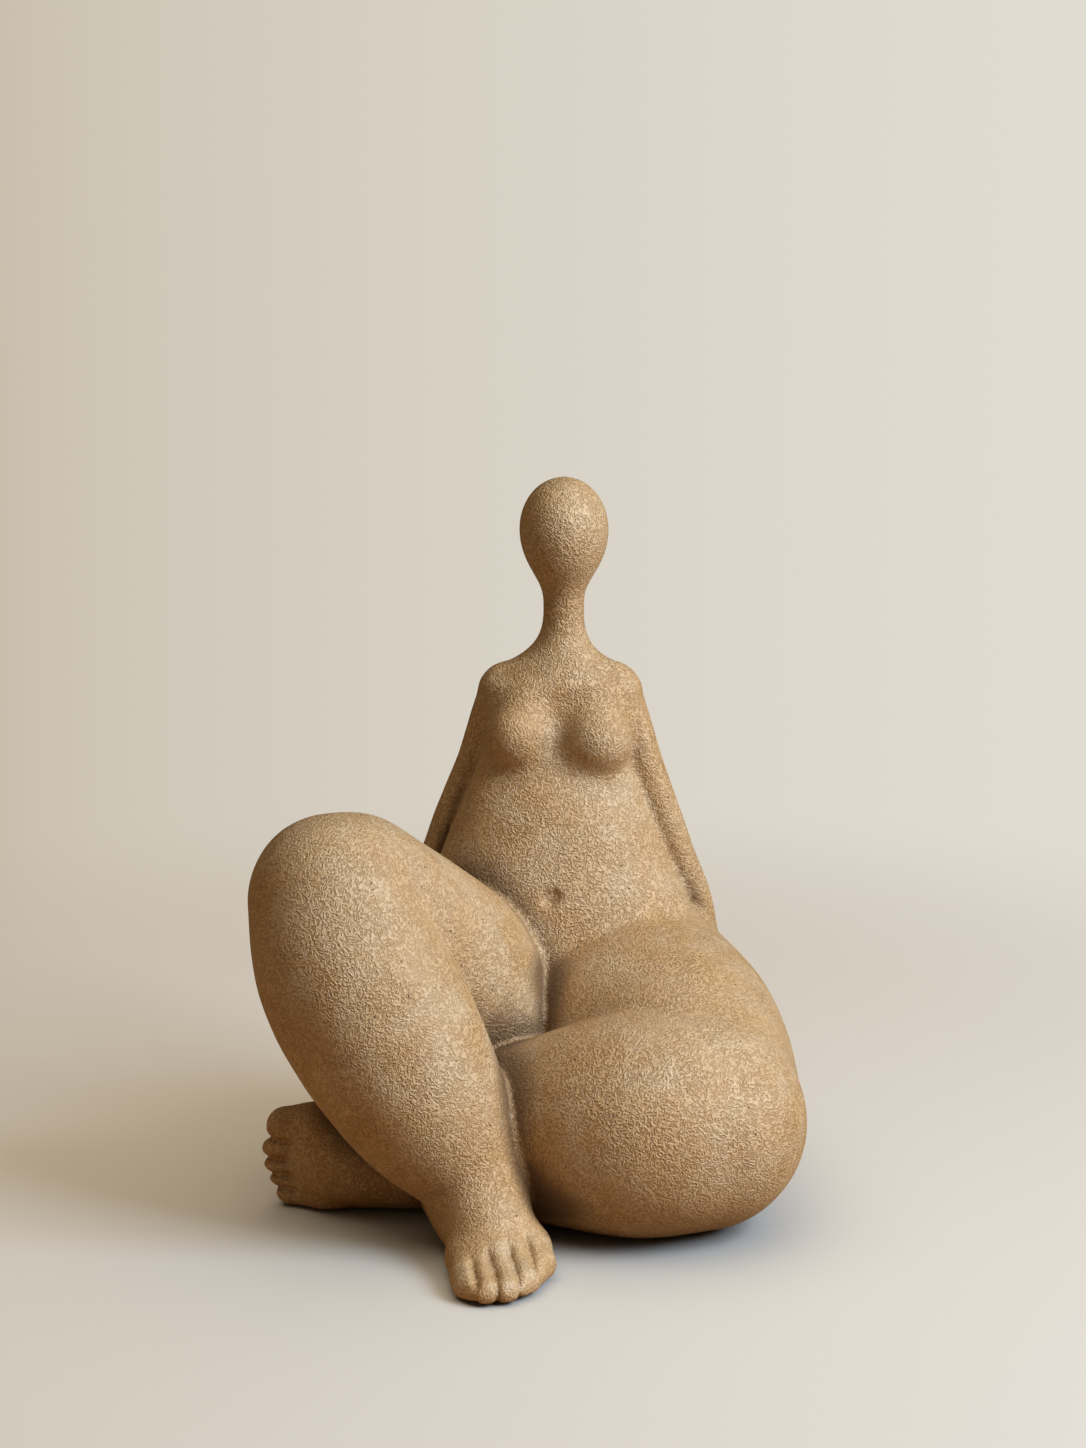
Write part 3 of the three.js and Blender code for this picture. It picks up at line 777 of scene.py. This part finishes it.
@dataclass(frozen=True)
class CastStone:
    """Sand-coloured cast stone: curly raised grain, dark pores, ochre and rosy areas, painted shade in creases and
    hollows, and a painted warm shade where the raised shin meets the folded calf.

    Lengths are in millimetres and colours are linear.
    """

    body: Row = (0.58, 0.40, 0.22)
    ochre: Row = (0.51, 0.30, 0.11)
    rosy: Row = (0.63, 0.48, 0.315)
    valley: Row = (0.64, 0.53, 0.38)
    crest: Row = (1.06, 1.06, 1.06)
    pore: Row = (0.085, 0.042, 0.016)
    # The colour of the painted shade in creases and hollows.
    crease_shade: Row = (0.10, 0.05, 0.018)
    curl_size: float = 2.1
    curl_turns: float = 27.0
    speck_size: float = 0.75
    pore_spacing: float = 4.0
    area_size: float = 34.0
    curl_depth: float = 0.26
    speck_depth: float = 0.34
    pore_depth: float = 0.28
    lump_size: float = 5.0
    lump_depth: float = 0.22
    roughness: float = 0.55
    rubbed: Row = (-9.0, -103.0, 10.0)
    rubbed_reach: float = 34.0
    # A painted warm shade, tinted ochre, where the raised shin meets the folded calf.
    shade_patch: Row = (-3.0, -62.0, 30.0)
    shade_patch_reach: float = 30.0

    def dress(self, piece: bpy.types.Object) -> None:
        """Gives a piece this finish.

        Args:
            piece: The piece, with its mesh in the frame's place and its shelter measured.
        """
        material = bpy.data.materials.new("cast_stone")
        material.use_nodes = True
        bench = NodeBench(material)
        shader = bench.shader

        swirl = bench.noise(self.curl_size, 1.6, 0.35, 0)
        curls = bench.work_out("SINE", bench.work_out("MULTIPLY", swirl, self.curl_turns))
        curls = bench.work_out("MULTIPLY_ADD", curls, 0.5, 0.5)
        specks = bench.noise(self.speck_size, 1.0, 0.2, 0.31)
        worn = bench.spread(bench.noise(self.area_size * 0.4, 2.0, 0.2, 0.47), 0.3, 0.7)
        toes = bench.within(self.rubbed, self.rubbed_reach)
        strength = bench.work_out("MULTIPLY_ADD", worn, 0.25, 0.75)
        strength = bench.work_out("MULTIPLY", strength, bench.work_out("MULTIPLY_ADD", toes, -0.4, 1.0))
        spots = bench.tree.nodes.new("ShaderNodeTexVoronoi")
        bench.feed(spots.inputs["Scale"], 1 / (self.pore_spacing * MM))
        bench.feed(spots.inputs["Vector"], bench.place)
        few = bench.spread(bench.noise(self.pore_spacing * 1.6, 1.0, 0.0, 0.59), 0.5, 0.56)
        pores = bench.work_out("MULTIPLY", bench.spread(spots.outputs["Distance"], 0.125, 0.055), few)

        areas = bench.spread(bench.noise(self.area_size, 3.0, 0.4, 0.11), 0.36, 0.64)
        flesh = bench.spread(bench.noise(self.area_size * 0.5, 3.0, 0.4, 0.23), 0.42, 0.7)
        colour = bench.blend(bench.work_out("MULTIPLY", areas, 0.45), self.body, self.ochre)
        colour = bench.blend(bench.work_out("MULTIPLY", flesh, 0.6), colour, self.rosy)
        # Painted warm shade where the raised shin meets the folded calf.
        shade_patch = bench.within(self.shade_patch, self.shade_patch_reach)
        colour = bench.blend(bench.work_out("MULTIPLY", shade_patch, 0.6), colour, self.ochre)
        grain = bench.work_out("MULTIPLY_ADD", bench.work_out("SUBTRACT", specks, 0.5), 2.2, curls)
        shade = bench.blend(bench.spread(grain, -0.25, 1.25), self.valley, self.crest)
        colour = bench.blend(strength, colour, shade, "MULTIPLY")
        colour = bench.blend(bench.work_out("MULTIPLY", pores, 0.85), colour, self.pore)
        # Painted shade: the skin is darkened towards a deep brown where it lies sheltered in creases and hollows.
        shelter = bench.tree.nodes.new("ShaderNodeAttribute")
        shelter.attribute_name = SHELTER
        crease_shade_share = bench.work_out("MULTIPLY", bench.spread(shelter.outputs["Fac"], 0.12, 0.95), 0.8)
        bench.feed(shader.inputs["Base Color"], bench.blend(crease_shade_share, colour, self.crease_shade))

        curl_height = bench.work_out("MULTIPLY", curls, bench.work_out("MULTIPLY", strength, self.curl_depth * MM))
        height = bench.work_out("MULTIPLY_ADD", specks, self.speck_depth * MM, curl_height)
        height = bench.work_out("SUBTRACT", height, bench.work_out("MULTIPLY", pores, self.pore_depth * MM))
        lumps = bench.work_out("MULTIPLY", bench.noise(self.lump_size, 2.0, 0.2, 0.83), self.lump_depth * MM)
        bench.feed(shader.inputs["Normal"], bench.relief(height, bench.relief(lumps)))
        bench.feed(shader.inputs["Roughness"], bench.work_out("MULTIPLY_ADD", toes, -0.12, self.roughness))
        bench.feed(shader.inputs["Specular IOR Level"], 0.85)
        piece.data.materials.clear()
        piece.data.materials.append(material)


@dataclass
class Figurine:
    """The cast figure as one skin.

    Attributes:
        node: The frame's solid that it replaces.
        voxel: The size of the even mesh's cells, in millimetres.
        toe_areas: Balls round the toes, in the masses' axes: the cells in them are cut smaller twice.
        finer_faces: How many of the most sheltered cells are cut smaller once.
        near_reach: How far off the skin its narrow creases are felt, in millimetres.
        wide_reach: How far off the skin its wide hollows are felt.
        swell: How deep the hand-worked unevenness is, in millimetres.
        swell_size: How far apart its swellings are.
        finish: The finish.
        form: The masses that the skin is settled on.
    """

    node: str = "figure"
    voxel: float = 1.8
    toe_areas: Rows = ((-17, -100, 8, 25), (-93, -10, 18, 20), (3, 18.8, 104.3, 6))
    finer_faces: int = 4600
    near_reach: float = 2.6
    wide_reach: float = 15.0
    swell: float = 0.22
    swell_size: float = 15.0
    finish: CastStone = CastStone()
    form: Form = field(default_factory=Form)

    def even_copy(self) -> bpy.types.Object:
        """Merges a copy of the solid and remeshes it evenly.

        Returns:
            The new object.
        """
        solid = bmesh.new()
        solid.from_mesh(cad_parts[self.node].data)
        bmesh.ops.remove_doubles(solid, verts=solid.verts, dist=0.01 * MM)
        start = bpy.data.meshes.new("start")
        solid.to_mesh(start)
        solid.free()
        rough = bpy.data.objects.new("rough", start)
        bpy.context.scene.collection.objects.link(rough)
        remesh = rough.modifiers.new("even", "REMESH")
        remesh.mode = "VOXEL"
        remesh.voxel_size = self.voxel * MM
        remesh.adaptivity = 0
        graph = bpy.context.evaluated_depsgraph_get()
        skin = bpy.data.meshes.new_from_object(rough.evaluated_get(graph))
        bpy.data.objects.remove(rough)
        bpy.data.meshes.remove(start)
        piece = bpy.data.objects.new("seated_woman", skin)
        bpy.context.scene.collection.objects.link(piece)
        return piece

    def shelter(self, mesh: bpy.types.Mesh) -> np.ndarray:
        """Measures how near other parts of the figure's skin are in front of each point of it, which sets the
        painted shade in creases and hollows and where cells are cut smaller.

        Args:
            mesh: The skin.

        Returns:
            A number for each point: 0 on open skin, about 1 in the deepest creases.
        """
        points, normals = (read_rows(mesh.vertices, name) for name in ("co", "normal"))
        found = np.zeros(len(points))
        for reach, weight in ((self.near_reach, 1.0), (self.wide_reach, 0.85)):
            ahead = points / MM + MIDDLE + normals * reach
            found = np.maximum(found, weight * (1 - self.form.distance(ahead) / reach))
        return np.clip(found, 0, 1)

    def refine(self, mesh: bpy.types.Mesh) -> None:
        """Cuts the cells round the toes and the most sheltered cells smaller.

        Args:
            mesh: The skin.
        """
        depth = self.shelter(mesh)
        skin = bmesh.new()
        skin.from_mesh(mesh)
        skin.verts.ensure_lookup_table()
        deepest = sorted(skin.faces, key=lambda face: -sum(depth[corner.index] for corner in face.verts))
        chosen = set(deepest[:self.finer_faces])
        for shrink in (0, 3):
            for x, y, z, reach in self.toe_areas:
                centre = (Vector((x, y, z)) - Vector(MIDDLE)) * MM
                near = (reach - shrink) * MM
                chosen.update(face for face in skin.faces if (face.calc_center_median() - centre).length < near)
            edges = {edge for face in chosen for edge in face.edges}
            bmesh.ops.subdivide_edges(skin, edges=list(edges), cuts=1, use_grid_fill=True)
            chosen = set()
        skin.to_mesh(mesh)
        skin.free()

    def settle(self, mesh: bpy.types.Mesh, turns: int, swell: float) -> None:
        """Evens the skin out and moves it onto the form, with its unevenness.

        Args:
            mesh: The skin.
            turns: How many times it is moved.
            swell: How deep the unevenness is, in millimetres.
        """
        skin = bmesh.new()
        skin.from_mesh(mesh)
        for _ in range(2):
            bmesh.ops.smooth_vert(
                skin, verts=skin.verts, factor=0.5, use_axis_x=True, use_axis_y=True, use_axis_z=True
            )
        skin.to_mesh(mesh)
        skin.free()
        points = self.form.settled(read_rows(mesh.vertices, "co") / MM + MIDDLE, turns, 1.2)
        points = (points - MIDDLE) * MM
        if swell:
            mesh.vertices.foreach_set("co", points.ravel())
            mesh.update()
            scale = 1 / (self.swell_size * MM)
            amount = np.array([noise.noise(Vector(point) * scale) for point in points])
            lifted = points + read_rows(mesh.vertices, "normal") * (amount * swell * MM)[:, None]
            free = points[:, 2] > 2 * MM
            points[free] = lifted[free]
        mesh.vertices.foreach_set("co", points.ravel())
        mesh.update()

    def skin(self) -> bpy.types.Object:
        """Makes the skin, settles it and measures its shelter.

        Returns:
            The piece, not dressed yet.
        """
        piece = self.even_copy()
        mesh = piece.data
        self.settle(mesh, 2, 0)
        self.refine(mesh)
        self.settle(mesh, 3, self.swell)
        mesh.polygons.foreach_set("use_smooth", [True] * len(mesh.polygons))
        mesh.attributes.new(SHELTER, "FLOAT", "POINT").data.foreach_set("value", self.shelter(mesh))
        return piece

    def build(self) -> bpy.types.Object:
        """Builds and dresses the figurine.

        Returns:
            The finished piece.
        """
        piece = self.skin()
        self.finish.dress(piece)
        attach(piece, "root")
        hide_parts(self.node)
        triangles = sum(len(face.vertices) - 2 for face in piece.data.polygons)
        LOG.info("%s: %d triangles", piece.name, triangles)
        return piece


class LightRole(Enum):
    """What a light does in the studio."""

    KEY = "key"
    TOP = "top"
    FILL = "fill"
    FLOOR = "floor"


@dataclass(frozen=True)
class SoftBox:
    """A square soft light that points at the figure."""

    role: LightRole
    place: Row
    side: float
    power: float
    colour: Row

    def build(self, aim: Vector) -> bpy.types.Object:
        """Hangs the light.

        Args:
            aim: The point that it is turned to.

        Returns:
            The light.
        """
        data = bpy.data.lights.new(self.role.value, "AREA")
        data.shape = "SQUARE"
        data.size = self.side
        data.energy = self.power
        data.color = self.colour
        light = bpy.data.objects.new(self.role.value, data)
        light.location = self.place
        light.rotation_euler = (aim - Vector(self.place)).to_track_quat("-Z", "Y").to_euler()
        bpy.context.scene.collection.objects.link(light)
        LOG.info("%s light of %g W", self.role.value, self.power)
        return light


@dataclass
class Studio:
    """A plain pale floor that fades into the backdrop, soft light, and the camera.

    Lengths are in metres and colours are linear.
    """

    floor_colour: Row = (0.345, 0.37, 0.395)
    floor_glow: Row = (0.20, 0.135, 0.075)
    floor_radius: float = 1.2
    fade: Row = (0.24, 0.62)
    backdrop_left: Row = (0.571, 0.508, 0.407)
    backdrop_right: Row = (0.755, 0.717, 0.648)
    backdrop_edge: float = 0.157
    backdrop_bend: float = 0.6
    ambient: Row = (0.10, 0.062, 0.032)
    camera_place: Row = (0.0052, -1.1752, 0.422)
    camera_pitch: float = 78.0
    lens: float = 85.0
    sensor: float = 36.0
    lights: tuple[SoftBox, ...] = (
        SoftBox(LightRole.KEY, (0.96, -0.50, 0.88), 0.7, 25.0, (0.88, 0.95, 1.0)),
        SoftBox(LightRole.TOP, (-0.2, -0.3, 1.45), 0.8, 3.0, (1.0, 0.86, 0.64)),
        SoftBox(LightRole.FILL, (-1.0, -0.35, 0.28), 0.8, 0.7, (1.0, 0.80, 0.52)),
        SoftBox(LightRole.FLOOR, (0.1, 0.1, 1.5), 2.4, 44.0, (1.0, 0.75, 0.49)),
    )

    def build_camera(self) -> None:
        """Sets the camera at the photograph's angle."""
        data = bpy.data.cameras.new("camera")
        data.lens = self.lens
        data.sensor_fit = "VERTICAL"
        data.sensor_height = self.sensor
        camera = bpy.data.objects.new("camera", data)
        camera.location = self.camera_place
        camera.rotation_euler = (math.radians(self.camera_pitch), 0, 0)
        bpy.context.scene.collection.objects.link(camera)
        bpy.context.scene.camera = camera

    def build_floor(self) -> bpy.types.Object:
        """Lays the floor as a disc that fades out towards its rim.

        It throws less light back on the figurine than the eye sees, and of a warmer colour.

        Returns:
            The floor.
        """
        disc = bmesh.new()
        bmesh.ops.create_circle(disc, cap_ends=True, segments=96, radius=self.floor_radius)
        mesh = bpy.data.meshes.new("floor")
        disc.to_mesh(mesh)
        disc.free()
        floor = bpy.data.objects.new("floor", mesh)
        bpy.context.scene.collection.objects.link(floor)
        material = bpy.data.materials.new("floor")
        material.use_nodes = True
        nodes, links = material.node_tree.nodes, material.node_tree.links
        shader = nodes["Principled BSDF"]
        seen = nodes.new("ShaderNodeMix")
        seen.data_type = "RGBA"
        seen.inputs[6].default_value = (*self.floor_glow, 1)
        seen.inputs[7].default_value = (*self.floor_colour, 1)
        links.new(nodes.new("ShaderNodeLightPath").outputs["Is Camera Ray"], seen.inputs["Factor"])
        links.new(seen.outputs[2], shader.inputs["Base Color"])
        shader.inputs["Roughness"].default_value = 0.85
        shader.inputs["Specular IOR Level"].default_value = 0.2
        place = nodes.new("ShaderNodeTexCoord")
        length = nodes.new("ShaderNodeVectorMath")
        length.operation = "LENGTH"
        links.new(place.outputs["Object"], length.inputs[0])
        fading = nodes.new("ShaderNodeMapRange")
        fading.interpolation_type = "SMOOTHSTEP"
        fading.inputs["From Min"].default_value = self.fade[1]
        fading.inputs["From Max"].default_value = self.fade[0]
        links.new(length.outputs["Value"], fading.inputs["Value"])
        links.new(fading.outputs["Result"], shader.inputs["Alpha"])
        mesh.materials.append(material)
        return floor

    def build_backdrop(self) -> None:
        """Colours the world: painted darker to the left as shade away from the key light, and a weak warm glow as
        light.
        """
        world = bpy.data.worlds.new("backdrop")
        world.use_nodes = True
        bpy.context.scene.world = world
        nodes, links = world.node_tree.nodes, world.node_tree.links
        background = nodes["Background"]
        place = nodes.new("ShaderNodeTexCoord")
        parts = nodes.new("ShaderNodeSeparateXYZ")
        links.new(place.outputs["Generated"], parts.inputs[0])
        across = nodes.new("ShaderNodeMapRange")
        across.inputs["From Min"].default_value = -self.backdrop_edge
        across.inputs["From Max"].default_value = self.backdrop_edge
        links.new(parts.outputs["X"], across.inputs["Value"])
        bend = nodes.new("ShaderNodeMath")
        bend.operation = "POWER"
        bend.inputs[1].default_value = self.backdrop_bend
        links.new(across.outputs["Result"], bend.inputs[0])
        # Painted shade: the backdrop is darker to the left, away from the key light.
        mix = nodes.new("ShaderNodeMix")
        mix.data_type = "RGBA"
        mix.inputs[6].default_value = (*self.backdrop_left, 1)
        mix.inputs[7].default_value = (*self.backdrop_right, 1)
        links.new(bend.outputs[0], mix.inputs["Factor"])
        seen = nodes.new("ShaderNodeMix")
        seen.data_type = "RGBA"
        seen.inputs[6].default_value = (*self.ambient, 1)
        links.new(mix.outputs[2], seen.inputs[7])
        links.new(nodes.new("ShaderNodeLightPath").outputs["Is Camera Ray"], seen.inputs["Factor"])
        links.new(seen.outputs[2], background.inputs["Color"])

    def build(self) -> None:
        """Builds the whole studio."""
        self.build_camera()
        self.build_backdrop()
        floor_only = bpy.data.collections.new("floor_only")
        floor_only.objects.link(self.build_floor())
        for box in self.lights:
            light = box.build(Vector((0, 0, 0.1)))
            if box.role is LightRole.FLOOR:
                light.light_linking.receiver_collection = floor_only
        bpy.context.scene.view_settings.view_transform = "Standard"


def main() -> None:
    """Builds the studio and the figurine."""
    logging.basicConfig(level=logging.INFO, format="%(name)s: %(message)s")
    Studio().build()
    Figurine().build()


if __name__ == "__main__":
    main()
